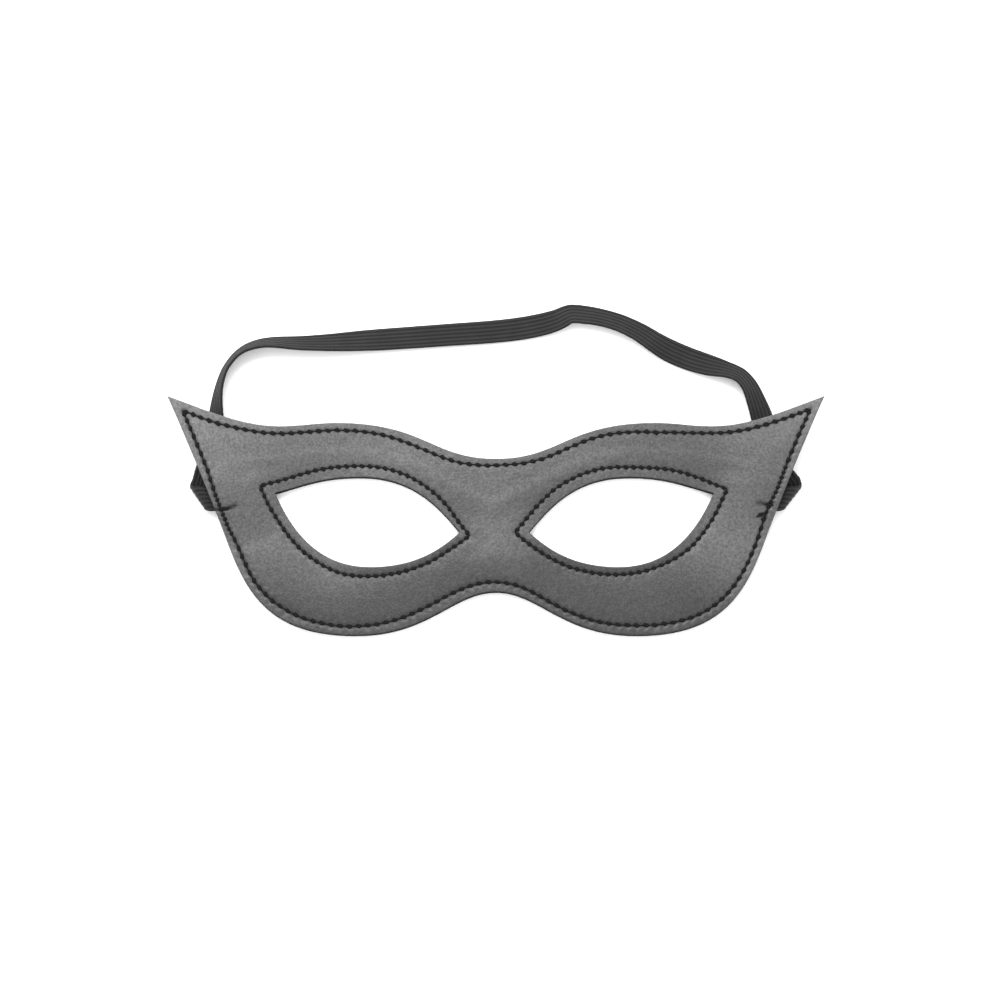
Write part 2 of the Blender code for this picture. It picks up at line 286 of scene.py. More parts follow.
class Height:
    """A node's upper or lower surface as a smooth height over the plan."""

    STEP = 0.0025

    def __init__(self, node, upper, spread=0.0036):
        mesh = welded(node)
        sign = 1.0 if upper else -1.0
        used = {v for f in mesh.faces if f.normal.z * sign > 0.5 for v in f.verts}
        data = np.array(sorted((v.co.x, v.co.y, v.co.z) for v in used))
        mesh.free()
        self.least = data[:, 2].min()      # the fit may not dip below the flat middle
        self.low = data[:, :2].min(axis=0) - 4 * self.STEP
        count = np.ceil((data[:, :2].max(axis=0) + 4 * self.STEP - self.low) / self.STEP).astype(int)
        grid = np.zeros((count[0] + 1, count[1] + 1))
        for i in range(count[0] + 1):
            for j in range(count[1] + 1):
                away = data[:, :2] - (self.low + np.array([i, j]) * self.STEP)
                square = (away ** 2).sum(axis=1)
                reach = max(spread, 0.8 * math.sqrt(square.min()))
                weight = np.exp(-square / (2.0 * reach * reach))
                near = weight > 1e-5
                u, v = (away[near] / reach).T
                basis = np.stack([np.ones_like(u), u, v, u * u, u * v, v * v], axis=1)
                pull = basis * weight[near][:, None]
                tie = np.diag([0, 1e-4, 1e-4, 1e-2, 1e-2, 1e-2]) * weight[near].sum()
                grid[i, j] = np.linalg.solve(pull.T @ basis + tie, pull.T @ data[near, 2])[0]
        self.grid = grid

    def __call__(self, points):
        place = (points - self.low) / self.STEP
        cell = np.clip(np.floor(place).astype(int), 1, np.array(self.grid.shape) - 3)
        share = place - cell
        total = np.zeros(len(points))
        weights = [self.blend(share[:, axis]) for axis in (0, 1)]
        for i in range(4):
            for j in range(4):
                total += (weights[0][i] * weights[1][j]
                          * self.grid[cell[:, 0] + i - 1, cell[:, 1] + j - 1])
        return np.maximum(total, self.least)

    @staticmethod
    def blend(t):
        return ((2 - t) * (1 - t) * -t / 6 * 1.0, (t + 1) * (1 - t) * (2 - t) / 2,
                (t + 1) * t * (2 - t) / 2, (t + 1) * t * (t - 1) / 6)

    def rise(self, points):
        """How much taller an upright thickness is than one square to the surface."""
        step = 0.0006
        dx = (self(points + [step, 0]) - self(points - [step, 0])) / (2 * step)
        dy = (self(points + [0, step]) - self(points - [0, step])) / (2 * step)
        return np.sqrt(1.0 + dx * dx + dy * dy)


outline, *eyes = rim_loops("front_panel")
outline_sides = smooth_sides(outline)
eye_sides = [smooth_sides(eye) for eye in eyes]
front_top = Height("front_panel", True)
back_under = Height("back_panel", False)

# Every edge as a fine line of points, with the way into the leather
edges = []                     # (line, inward normal, whether it is an eye's)
for side in outline_sides:
    ahead = headings(side)
    edges.append((side, np.stack([-ahead[:, 1], ahead[:, 0]], axis=1), False))
for sides in eye_sides:
    for side in sides:
        ahead = headings(side)
        edges.append((side, np.stack([ahead[:, 1], -ahead[:, 0]], axis=1), True))
edge_points = np.vstack([line for line, _, _ in edges])
edge_tree = tree_of(edge_points)
outline_loop = np.vstack([even(side, 0.00045)[:-1] for side in outline_sides])
eye_loops = [np.vstack([even(side, 0.00045)[:-1] for side in sides]) for sides in eye_sides]


def on_leather(points):
    found = inside(points, outline_loop)
    for loop in eye_loops:
        found &= ~inside(points, loop)
    return found


# ---- Rows of stitches

def seam_depth(line, number, lead):
    """Distance of a row from its edge along that edge."""
    run = lengths(line)
    share = (run - lead) / (run[-1] - 2.0 * lead)
    table = np.array(SEAMS[number])
    depth = np.interp(share, table[:, 0], table[:, 1]) * MM
    window = np.hanning(71)
    padded = np.pad(depth, 35, mode="edge")
    return np.convolve(padded, window / window.sum(), mode="valid")


def crossing(first, second):
    """Where the end of one line crosses the start of the next."""
    reach = 260
    a, b = first[-reach:], second[:reach]
    r, s = np.diff(a, axis=0), np.diff(b, axis=0)
    across = r[:, None, 0] * s[None, :, 1] - r[:, None, 1] * s[None, :, 0]
    gap = b[None, :-1] - a[:-1, None]
    with np.errstate(divide="ignore", invalid="ignore"):
        t = (gap[..., 0] * s[None, :, 1] - gap[..., 1] * s[None, :, 0]) / across
        u = (gap[..., 0] * r[:, None, 1] - gap[..., 1] * r[:, None, 0]) / across
    hits = np.argwhere((t >= 0) & (t < 1) & (u >= 0) & (u < 1))
    i, j = hits[np.argmax(hits[:, 0])]
    point = a[i] + t[i, j] * r[i]
    return len(first) - len(a) + i, j + 1, point


def seam_lines(rims, first, lead):
    """Lines beside a loop's sides, mitred where they meet."""
    lines = []
    for number, (line, normal) in enumerate(rims):
        offset = line + normal * seam_depth(line, first + number, lead)[:, None]
        offset = even(offset, 0.0001)
        steps = np.arange(80, 0, -1)[:, None] * 0.0001
        start, end = headings(offset)[4], headings(offset)[-5]
        lines.append(np.vstack([offset[0] - start * steps, offset, offset[-1] + end * steps[::-1]]))
    cuts = [crossing(lines[i - 1], lines[i]) for i in range(len(lines))]
    joined = []
    for i, line in enumerate(lines):
        _, begin, corner = cuts[i]
        finish, _, last = cuts[(i + 1) % len(lines)]
        joined.append(even(np.vstack([corner, line[begin:finish + 1], last]), 0.0001))
    return joined


def stitched(line, pitch, slow=()):
    """Stitch number, with its fraction, at each point of a line of whole stitches."""
    run = lengths(line)
    ends = np.minimum(run, run[-1] - run)
    local = PITCH_TIP + (pitch - PITCH_TIP) * ease(0.0, PITCH_RUN_IN, ends)
    for start, end, short in slow:
        held = ease(start - 1.5, start, run / MM) * (1.0 - ease(end, end + 1.5, run / MM))
        local += (short * MM - local) * held
    count = np.concatenate([[0.0], np.cumsum(np.diff(run) / local[1:])])
    return count * (max(1, round(count[-1])) / count[-1])


rows = []                      # (line, stitch number along it)
outer_lines = seam_lines([(line, normal) for line, normal, eye in edges if not eye], 0, TIP_LEAD)
eye_lines = []
for k in range(len(eye_sides)):
    first = len(outline_sides) + 2 * k
    own = edges[first:first + 2]
    eye_lines.append(seam_lines([(line, normal) for line, normal, _ in own], first, EYE_LEAD))
for line, slow in zip(outer_lines, ((), SLOW)):
    rows.append((line, stitched(line, PITCH_OUTER, slow)))
for lines in eye_lines:
    for line in lines:
        rows.append((line, stitched(line, PITCH_EYE)))
row_points = np.vstack([line for line, _ in rows])
row_phase = np.concatenate([number for _, number in rows])
row_tree = tree_of(row_points)
row_trees = [tree_of(line[::3]) for line, _ in rows]
outer_seam_loop = np.vstack([even(line, 0.0005)[:-1] for line in outer_lines])
eye_seam_loops = [np.vstack([even(line, 0.0005)[:-1] for line in lines]) for lines in eye_lines]


def in_panel(points):
    """Which points lie in the padded field between the rows."""
    found = inside(points, outer_seam_loop)
    for loop in eye_seam_loops:
        found &= ~inside(points, loop)
    return found


# ---- Strap, read from the frame

def strap_edges():
    """The strap's two edges along its middle plane, from the left end to the right."""
    mesh = welded("elastic_strap")
    links = {}
    for edge in mesh.edges:
        if len(edge.link_faces) == 2 and edge.calc_face_angle() > math.radians(50.0):
            a, b = (v.index for v in edge.verts)
            links.setdefault(a, []).append(b)
            links.setdefault(b, []).append(a)
    corners = [i for i, near in links.items() if len(near) == 3]
    chains = []
    for corner in sorted(c for c in corners if mesh.verts[c].co.x < 0):
        for step in links[corner]:
            chain = [corner, step]
            while chain[-1] not in corners:
                chain.append(next(n for n in links[chain[-1]] if n != chain[-2]))
            if len(chain) > 20:
                chains.append(np.array([mesh.verts[i].co[:] for i in chain]))
    mesh.free()
    chains.sort(key=lambda chain: (round(chain[0, 1], 3) > 0.008, chain[0, 2]))
    low = (chains[0] + chains[1]) / 2
    high = (chains[2] + chains[3]) / 2
    return low, high


strap_low, strap_high = strap_edges()
strap_run = lengths((strap_low + strap_high) / 2)
tab_low_y = float(min(strap_low[0, 1], strap_low[-1, 1]))
tab_high_y = float(max(strap_high[0, 1], strap_high[-1, 1]))
tab_left_x = float(strap_low[0, 0])
tab_right_x = float(strap_low[-1, 0])


# ---- Relief of the leather

def by_tab(side, inward, up):
    """The point so many mm in from the mask's side edge and above the strap's lower edge."""
    y = tab_low_y + up * MM
    near = outline_loop[np.abs(outline_loop[:, 1] - y) < 0.0006]
    return np.array([side * (np.abs(near[:, 0]).max() - inward * MM), y])


def crease(points, side, start, end, width):
    """Depth share of a crease along a line between two points, eased at its ends."""
    start, end = by_tab(side, *start), by_tab(side, *end)
    total = np.linalg.norm(end - start)
    ahead = (end - start) / total
    away = points - start
    along = away @ ahead
    beside = away[:, 0] * ahead[1] - away[:, 1] * ahead[0]
    ends = ease(-0.0004, 0.0006, along) * (1.0 - ease(total - 0.0012, total, along))
    return bell(beside, width * MM) * ends


def pinched(points):
    """Depth of the creases beside the strap's ends."""
    depth = np.zeros(len(points))
    for side, start, end, width, deep in CREASES:
        depth = np.maximum(depth, deep * MM * crease(points, side, start, end, width))
    return depth


def relief(points, edge_away):
    """Height of the stitched, padded leather above its smooth surface."""
    row_away, index = nearest(row_tree, points)
    panel = in_panel(points)
    beat = np.cos(2.0 * math.pi * row_phase[index])
    # beat is 1 where the needle goes down and -1 under the middle of a stitch
    each = np.stack([nearest(tree, points)[0] for tree in row_trees])
    share = np.exp(-(each - each.min(axis=0)) / 0.0009)
    within, without, scallop, groove = (np.array(ROW_PUFFS).T @ share) / share.sum(axis=0)
    grow = 1.0 - np.exp(-row_away / np.where(panel, PUFF_RUN, BAND_RUN))
    height = np.where(panel, PUFF * within, BAND_PUFF * without) * grow
    ranked = np.sort(each, axis=0)
    broad = ease(*CROWN_WIDTHS, ranked[0] + ranked[1])
    crown = 1.0 - np.exp(-(each.min(axis=0) / CROWN_RUN) ** 1.3)
    fall = 1.0 - np.exp(-each[1] / CROWN_FALL)
    others = np.delete(each, 1, axis=0).min(axis=0)
    lower = fall * (1.0 - np.exp(-(others / CROWN_RUN) ** 1.3))
    height += np.where(panel, CROWN * broad * (0.35 * crown + 0.65 * lower), 0.0)
    height -= GROOVE_DEPTH * groove * bell(row_away, GROOVE_WIDTH)
    height += SCALLOP * scallop * beat * bell(row_away - 0.0010, 0.00042)
    height += 0.00003 * waves(points, 0.0045, 3) * bell(row_away - 0.0022, 0.0022)
    height += 0.00002 * waves(points, 0.018, 5) * grow
    for side, inward, up, radius, tall in LUMPS:
        away = np.linalg.norm(points - by_tab(side, inward, up), axis=1)
        height += tall * MM * bell(away, radius * MM)
    return height - pinched(points)


def face_height(points):
    """Height of the mask's face at points of the plan."""
    edge_away, _ = nearest(edge_tree, points)
    height = front_top(points) + relief(points, edge_away)
    inward = np.clip(FRONT_ROUND - edge_away, 0.0, FRONT_ROUND)
    return height - (FRONT_ROUND - np.sqrt(np.maximum(FRONT_ROUND ** 2 - inward ** 2, 0.0)))


def under_height(points):
    """Height of the mask's underside, dimpled along the rows of stitches."""
    edge_away, _ = nearest(edge_tree, points)
    row_away, index = nearest(row_tree, points)
    beat = np.cos(2.0 * math.pi * row_phase[index])
    height = back_under(points) + 0.00036 * bell(row_away, 0.0006) * (0.8 + 0.2 * beat)
    inward = np.clip(BACK_ROUND - edge_away, 0.0, BACK_ROUND)
    return height + (BACK_ROUND - np.sqrt(np.maximum(BACK_ROUND ** 2 - inward ** 2, 0.0)))


# ---- Meshes

def plan_points(distances, field_pitch):
    """Points at set distances inside the edges, and an even field beyond them."""
    made = []
    lines = [(line, normal, eye) for line, normal, eye in edges]
    for line, normal, eye in lines:
        keep = np.linspace(0, len(line) - 1, int(len(line) * 0.0001 / 0.00045) + 1).astype(int)[1:-1]
        for away in distances:
            made.append((line[keep] + normal[keep] * away, away))
    for k in range(len(eye_sides)):
        own = edges[len(outline_sides) + 2 * k:len(outline_sides) + 2 * k + 2]
        for i in range(2):
            before, after = own[i - 1], own[i]
            corner = after[0][0]
            a = math.atan2(before[1][-1][1], before[1][-1][0])
            b = math.atan2(after[1][0][1], after[1][0][0])
            sweep = (b - a + math.pi) % (2 * math.pi) - math.pi
            for away in distances:
                count = max(3, int(abs(sweep) * away / 0.00045) + 1)
                turn = a + sweep * np.linspace(0, 1, count)
                made.append((corner + away * np.stack([np.cos(turn), np.sin(turn)], axis=1), away))
    kept = []
    for points, away in made:
        true, _ = nearest(edge_tree, points)
        kept.append(points[true > away - 0.00003])
    deepest = distances[-1] + field_pitch * 0.6
    low, high = edge_points.min(axis=0), edge_points.max(axis=0)
    ys = np.arange(low[1], high[1], field_pitch * math.sqrt(3) / 2)
    field = []
    for row, y in enumerate(ys):
        xs = np.arange(low[0] + (row % 2) * field_pitch / 2, high[0], field_pitch)
        field.append(np.stack([xs, np.full_like(xs, y)], axis=1))
    field = np.vstack(field)
    field = field[on_leather(field)]
    true, _ = nearest(edge_tree, field)
    kept.append(field[true > deepest])
    points = np.vstack(kept)
    return points[on_leather(points)]


def filled(extra):
    """Triangles between the rims through extra points. The rims' points come first."""
    loops = [outline_loop] + eye_loops
    rim = np.vstack(loops)
    ties, start = [], 0
    for loop in loops:
        ties += [(start + i, start + (i + 1) % len(loop)) for i in range(len(loop))]
        start += len(loop)
    flat = np.vstack([rim, extra])
    verts, _, faces, origin, _, _ = delaunay_2d_cdt(
        [Vector(p) for p in flat / MM], ties, [], 0, 1e-6)
    name = [o[0] for o in origin]
    faces = np.array([[name[i] for i in face] for face in faces])
    doubtful = (faces < len(rim)).all(axis=1)
    keep = ~doubtful
    keep[doubtful] = on_leather(flat[faces[doubtful]].mean(axis=1))
    faces = faces[keep]
    a, b, c = (flat[faces[:, i]] for i in range(3))
    flipped = (b - a)[:, 0] * (c - a)[:, 1] - (b - a)[:, 1] * (c - a)[:, 0] < 0
    faces[flipped] = faces[flipped][:, ::-1]
    return flat, faces, [len(loop) for loop in loops]


def mesh_object(name, verts, faces, material, smooth=True):
    mesh = bpy.data.meshes.new(name)
    mesh.from_pydata([tuple(v) for v in verts], [], [tuple(int(i) for i in f) for f in faces])
    mesh.validate()
    mesh.update()
    made = bpy.data.objects.new(name, mesh)
    bpy.context.scene.collection.objects.link(made)
    mesh.materials.append(material)
    mesh.shade_smooth() if smooth else mesh.shade_flat()
    return made


def paint(made, name, values):
    """A named number at each vertex for the material."""
    layer = made.data.attributes.new(name, "FLOAT", "POINT")
    layer.data.foreach_set("value", np.asarray(values, np.float32))


def ply_object(name, top_points, bottom_points, top, bottom, levels, material):
    """A closed ply: top, underside and an upright cut edge with rows between them."""
    top_flat, top_faces, sizes = filled(top_points)
    low_flat, low_faces, _ = filled(bottom_points)
    rim = sum(sizes)
    rim_flat = top_flat[:rim]
    top_z, low_z = top(top_flat), bottom(low_flat)
    verts = [np.column_stack([top_flat, top_z])]
    faces = list(top_faces)
    wall_start = len(faces)
    previous = np.arange(rim)
    base = len(top_flat)
    for number, level in enumerate(levels):
        z = top_z[:rim] * (1 - level) + low_z[:rim] * level
        ripple = 0.000018 * np.sin(np.arange(rim) * 0.9 + number * 2.1)
        verts.append(np.column_stack([rim_flat, z + ripple]))
        here = base + np.arange(rim)
        faces += wall_faces(previous, here, sizes)
        previous, base = here, base + rim
    low_index = base + np.arange(len(low_flat))
    verts.append(np.column_stack([low_flat, low_z]))
    faces += wall_faces(previous, low_index[:rim], sizes)
    wall_end = len(faces)
    faces += [tuple(low_index[i] for i in face[::-1]) for face in low_faces]
    verts = np.vstack(verts)
    made = mesh_object(name, verts, faces, material)
    made.data.materials.append(cut_edge)
    for face in made.data.polygons[wall_start:wall_end]:
        face.material_index = 1
    row_away, _ = nearest(row_tree, verts[:, :2])
    paint(made, "seam_away", row_away / MM)
    # depth share of the creases, which the leather's colour darkens as painted shade and which also
    # roughens it
    paint(made, "crease_shade", np.clip(pinched(verts[:, :2]) / (0.42 * MM), 0.0, 1.0))
    return made


def wall_faces(upper, lower, sizes):
    """Quads between two rows of rim points. The outline runs anticlockwise, as do the eyes."""
    made, start = [], 0
    for loop, size in enumerate(sizes):
        for i in range(size):
            a, b = start + i, start + (i + 1) % size
            quad = (upper[b], upper[a], lower[a], lower[b])
            made.append(quad if loop == 0 else quad[::-1])
        start += size
    return made


# ---- Materials

def shader(name, colour, roughness, **sockets):
    """A Principled material and helpers to wire it."""
    made = bpy.data.materials.new(name)
    made.use_nodes = True
    tree = made.node_tree
    body = tree.nodes["Principled BSDF"]
    body.inputs["Base Color"].default_value = (*colour, 1.0)
    body.inputs["Roughness"].default_value = roughness
    for socket, value in sockets.items():
        body.inputs[socket.replace("_", " ")].default_value = value
    return made, tree, body


def node(tree, kind, inputs=None, **settings):
    made = tree.nodes.new(kind)
    for key, value in settings.items():
        setattr(made, key, value)
    for key, value in (inputs or {}).items():
        if isinstance(value, bpy.types.NodeSocket):
            tree.links.new(value, made.inputs[key])
        else:
            made.inputs[key].default_value = value
    return made


def noise(tree, where, scale, detail=3.0, rough=0.55):
    return node(tree, "ShaderNodeTexNoise",
                {"Vector": where, "Scale": scale, "Detail": detail, "Roughness": rough}).outputs["Fac"]


def stretched(tree, where, scale):
    return node(tree, "ShaderNodeMapping", {"Vector": where, "Scale": scale}).outputs["Vector"]


def remap(tree, value, low, high, to_low, to_high):
    return node(tree, "ShaderNodeMapRange",
                {"Value": value, "From Min": low, "From Max": high,
                 "To Min": to_low, "To Max": to_high}).outputs["Result"]


def math_node(tree, operation, a, b):
    return node(tree, "ShaderNodeMath", {0: a, 1: b}, operation=operation).outputs[0]


def mixed(tree, share, a, b):
    made = node(tree, "ShaderNodeMix", {0: share, 6: a, 7: b}, data_type="RGBA")
    return made.outputs[2]


def bump(tree, height, strength, distance, under=None):
    inputs = {"Height": height, "Strength": strength, "Distance": distance}
    if under is not None:
        inputs["Normal"] = under
    return node(tree, "ShaderNodeBump", inputs).outputs["Normal"]


def attribute(tree, name):
    return node(tree, "ShaderNodeAttribute", attribute_name=name).outputs["Fac"]


def leather_material():
    made, tree, body = shader("black_faux_leather", (0.02, 0.02, 0.0203), 0.44,
                              Specular_IOR_Level=0.42, Sheen_Weight=0.05, Sheen_Roughness=0.4)
    where = node(tree, "ShaderNodeTexCoord").outputs["Object"]
    pebble = node(tree, "ShaderNodeTexVoronoi", {"Vector": where, "Scale": 1500.0,
                                                 "Smoothness": 0.6, "Randomness": 1.0},
                  feature="SMOOTH_F1").outputs["Distance"]
    fine = noise(tree, where, 2600.0, 2.0)
    mottle = noise(tree, where, 1150.0, 2.0, 0.5)
    streak = noise(tree, stretched(tree, where, (2000.0, 600.0, 900.0)), 1.0, 2.0)
    cloud = noise(tree, where, 70.0, 4.0, 0.6)
    seam = attribute(tree, "seam_away")
    crease_shade = attribute(tree, "crease_shade")
    # painted light and shade: the leather's colour is paler towards the brow and the left wing and
    # darker towards the lower lobes, standing in for how the light falls
    place = node(tree, "ShaderNodeSeparateXYZ", {"Vector": where}).outputs
    slant = math_node(tree, "ADD", place["Y"], math_node(tree, "MULTIPLY", place["X"], -0.07))
    outward = math_node(tree, "POWER", math_node(
        tree, "MULTIPLY", math_node(tree, "ABSOLUTE", place["X"], 0.0), 11.5), 4.0)
    slant = math_node(tree, "ADD", slant, math_node(tree, "MULTIPLY", outward, 0.009))
    painted_light = math_node(tree, "POWER", remap(tree, slant, -0.029, 0.048, 0.0, 1.0), 2.5)
    # each spot adds painted light to the leather's colour
    for spot, reach, much in PAINTED_LIGHT_SPOTS:
        away = node(tree, "ShaderNodeVectorMath", {0: where, 1: spot},
                    operation="DISTANCE").outputs["Value"]
        painted_light = math_node(tree, "ADD", painted_light, node(
            tree, "ShaderNodeMapRange", {"Value": away, "From Min": 0.0, "From Max": reach,
                                         "To Min": much, "To Max": 0.0},
            interpolation_type="SMOOTHSTEP").outputs["Result"])
    tone = mixed(tree, painted_light, (0.004, 0.004, 0.0041, 1), (0.064, 0.064, 0.0648, 1))
    grain = math_node(tree, "ADD", remap(tree, mottle, 0.3, 0.7, 0.72, 1.28),
                      remap(tree, fine, 0.3, 0.7, -0.22, 0.22))
    grain = math_node(tree, "ADD", grain, remap(tree, streak, 0.35, 0.7, -0.08, 0.22))
    grain = math_node(tree, "ADD", grain, remap(tree, cloud, 0.3, 0.7, -0.08, 0.08))
    tone = node(tree, "ShaderNodeVectorMath", {0: tone, "Scale": grain},
                operation="SCALE").outputs["Vector"]
    flecks = math_node(tree, "ADD", remap(tree, mottle, 0.38, 0.68, 0.0, 0.011),
                       remap(tree, fine, 0.4, 0.7, 0.0, 0.011))
    tone = node(tree, "ShaderNodeVectorMath", {0: tone, 1: flecks}).outputs["Vector"]
    # painted shade: the leather's colour darkens in the groove along each row of stitches
    tone = mixed(tree, remap(tree, seam, 0.2, 0.95, 0.85, 0.0), tone, (0.004, 0.004, 0.0041, 1))
    # painted shade in the creases beside the strap's ends
    tone = mixed(tree, crease_shade, tone, (0.002, 0.002, 0.0021, 1))
    tree.links.new(tone, body.inputs["Base Color"])
    gloss = remap(tree, cloud, 0.3, 0.7, 0.40, 0.46)
    gloss = math_node(tree, "ADD", gloss, remap(tree, mottle, 0.3, 0.7, 0.05, -0.05))
    gloss = math_node(tree, "ADD", gloss, math_node(tree, "MULTIPLY", crease_shade, 0.4))
    tree.links.new(gloss, body.inputs["Roughness"])
    normal = bump(tree, pebble, 0.45, 0.00009)
    normal = bump(tree, mottle, 0.60, 0.0001, normal)
    normal = bump(tree, streak, 0.30, 0.00008, normal)
    normal = bump(tree, fine, 0.55, 0.00005, normal)
    tree.links.new(normal, body.inputs["Normal"])
    return made


def cut_edge_material():
    made, tree, body = shader("cut_leather_edge", (0.009, 0.009, 0.0092), 0.95,
                              Specular_IOR_Level=0.05)
    where = node(tree, "ShaderNodeTexCoord").outputs["Object"]
    fibre = noise(tree, stretched(tree, where, (1600.0, 1600.0, 4200.0)), 1.0, 3.0, 0.6)
    tone = mixed(tree, remap(tree, fibre, 0.3, 0.7, 0.0, 1.0),
                 (0.006, 0.006, 0.0062, 1), (0.016, 0.016, 0.0164, 1))
    tree.links.new(tone, body.inputs["Base Color"])
    tree.links.new(remap(tree, fibre, 0.3, 0.7, 0.85, 1.0), body.inputs["Roughness"])
    tree.links.new(bump(tree, fibre, 0.5, 0.0001), body.inputs["Normal"])
    return made


def suede_material():
    made, tree, body = shader("black_faux_suede", (0.02, 0.02, 0.021), 0.85,
                              Specular_IOR_Level=0.25, Sheen_Weight=0.35, Sheen_Roughness=0.55)
    where = node(tree, "ShaderNodeTexCoord").outputs["Object"]
    nap = noise(tree, stretched(tree, where, (2600.0, 900.0, 1500.0)), 1.0, 4.0, 0.7)
    brushed = noise(tree, where, 160.0, 3.0, 0.6)
    tone = mixed(tree, remap(tree, nap, 0.3, 0.7, 0.0, 1.0),
                 (0.013, 0.013, 0.0135, 1), (0.034, 0.034, 0.035, 1))
    tone = mixed(tree, remap(tree, brushed, 0.4, 0.65, 0.0, 0.6), tone, (0.045, 0.045, 0.046, 1))
    tree.links.new(tone, body.inputs["Base Color"])
    tree.links.new(remap(tree, brushed, 0.3, 0.7, 0.78, 0.95), body.inputs["Roughness"])
    normal = bump(tree, nap, 0.6, 0.00018)
    tree.links.new(bump(tree, brushed, 0.3, 0.0003, normal), body.inputs["Normal"])
    return made


def thread_material():
    made, tree, body = shader("black_thread", (0.005, 0.005, 0.0052), 0.8,
                              Specular_IOR_Level=0.10)
    where = node(tree, "ShaderNodeTexCoord").outputs["Object"]
    fuzz = noise(tree, where, 4200.0, 3.0, 0.6)
    tone = mixed(tree, remap(tree, fuzz, 0.3, 0.7, 0.0, 1.0),
                 (0.002, 0.002, 0.0021, 1), (0.008, 0.008, 0.0083, 1))
    tree.links.new(tone, body.inputs["Base Color"])
    tree.links.new(remap(tree, fuzz, 0.3, 0.7, 0.7, 0.9), body.inputs["Roughness"])
    tree.links.new(bump(tree, fuzz, 0.5, 0.00008), body.inputs["Normal"])
    return made


def elastic_material():
    made, tree, body = shader("black_elastic_knit", (0.03, 0.03, 0.031), 0.72,
                              Specular_IOR_Level=0.18, Sheen_Weight=0.06, Sheen_Roughness=0.5)
    where = node(tree, "ShaderNodeTexCoord").outputs["Object"]
    along = attribute(tree, "along")
    across = attribute(tree, "across")
    weave = node(tree, "ShaderNodeCombineXYZ", {"X": along, "Y": across}).outputs["Vector"]
    picks = node(tree, "ShaderNodeTexWave",
                 {"Vector": weave, "Scale": 0.62, "Distortion": 1.2, "Detail": 2.0,
                  "Detail Scale": 1.5}, wave_type="BANDS", bands_direction="X").outputs["Fac"]
    fuzz = noise(tree, where, 3200.0, 3.0, 0.65)
    worn = noise(tree, where, 220.0, 3.0, 0.6)
    groove = attribute(tree, "groove")
    tone = mixed(tree, remap(tree, fuzz, 0.3, 0.7, 0.0, 1.0),
                 (0.004, 0.004, 0.0041, 1), (0.012, 0.012, 0.0123, 1))
    tone = mixed(tree, remap(tree, worn, 0.4, 0.7, 0.0, 0.5), tone, (0.017, 0.017, 0.0174, 1))
    # painted highlight on the rib crests, and painted shade in the ribs' hollows and along the band's
    # edges
    tone = mixed(tree, remap(tree, groove, 0.0, 0.12, 0.4, 0.0), tone, (0.026, 0.026, 0.0265, 1))
    tone = mixed(tree, remap(tree, groove, 0.1, 0.7, 0.0, 0.85), tone, (0.002, 0.002, 0.0021, 1))
    tree.links.new(tone, body.inputs["Base Color"])
    tree.links.new(remap(tree, fuzz, 0.3, 0.7, 0.62, 0.82), body.inputs["Roughness"])
    normal = bump(tree, picks, 0.45, 0.00012)
    tree.links.new(bump(tree, fuzz, 0.5, 0.0001, normal), body.inputs["Normal"])
    return made


leather = leather_material()
cut_edge = cut_edge_material()
suede = suede_material()
thread = thread_material()
elastic = elastic_material()

# ---- Leather face and lining

FINE_RINGS = [d * MM for d in (0.06, 0.14, 0.26, 0.42, 0.62, 0.95, 1.4, 1.85, 2.2, 2.45,
                               2.7, 2.95, 3.2, 3.5, 3.85, 4.3, 4.9)]
COARSE_RINGS = [0.0025]
UNDER_RINGS = [d * MM for d in (0.1, 0.25, 1.2, 2.2, 2.5, 2.75, 3.0, 3.3, 4.4)]

face_points = plan_points(FINE_RINGS, 0.0010)
plain_points = plan_points(COARSE_RINGS, 0.0040)
lining_points = plan_points(UNDER_RINGS, 0.0020)


def front_bottom(points):
    return front_top(points) - FRONT_THICKNESS * front_top.rise(points)


def back_top(points):
    return back_under(points) + BACK_THICKNESS * back_under.rise(points)


leather_front = ply_object("leather_front", face_points, plain_points, face_height,
                           front_bottom, (0.12, 0.35, 0.6, 0.85), leather)
leather_back = ply_object("leather_back", plain_points, lining_points, back_top,
                          under_height, (0.35, 0.7), suede)


# ---- Stitches

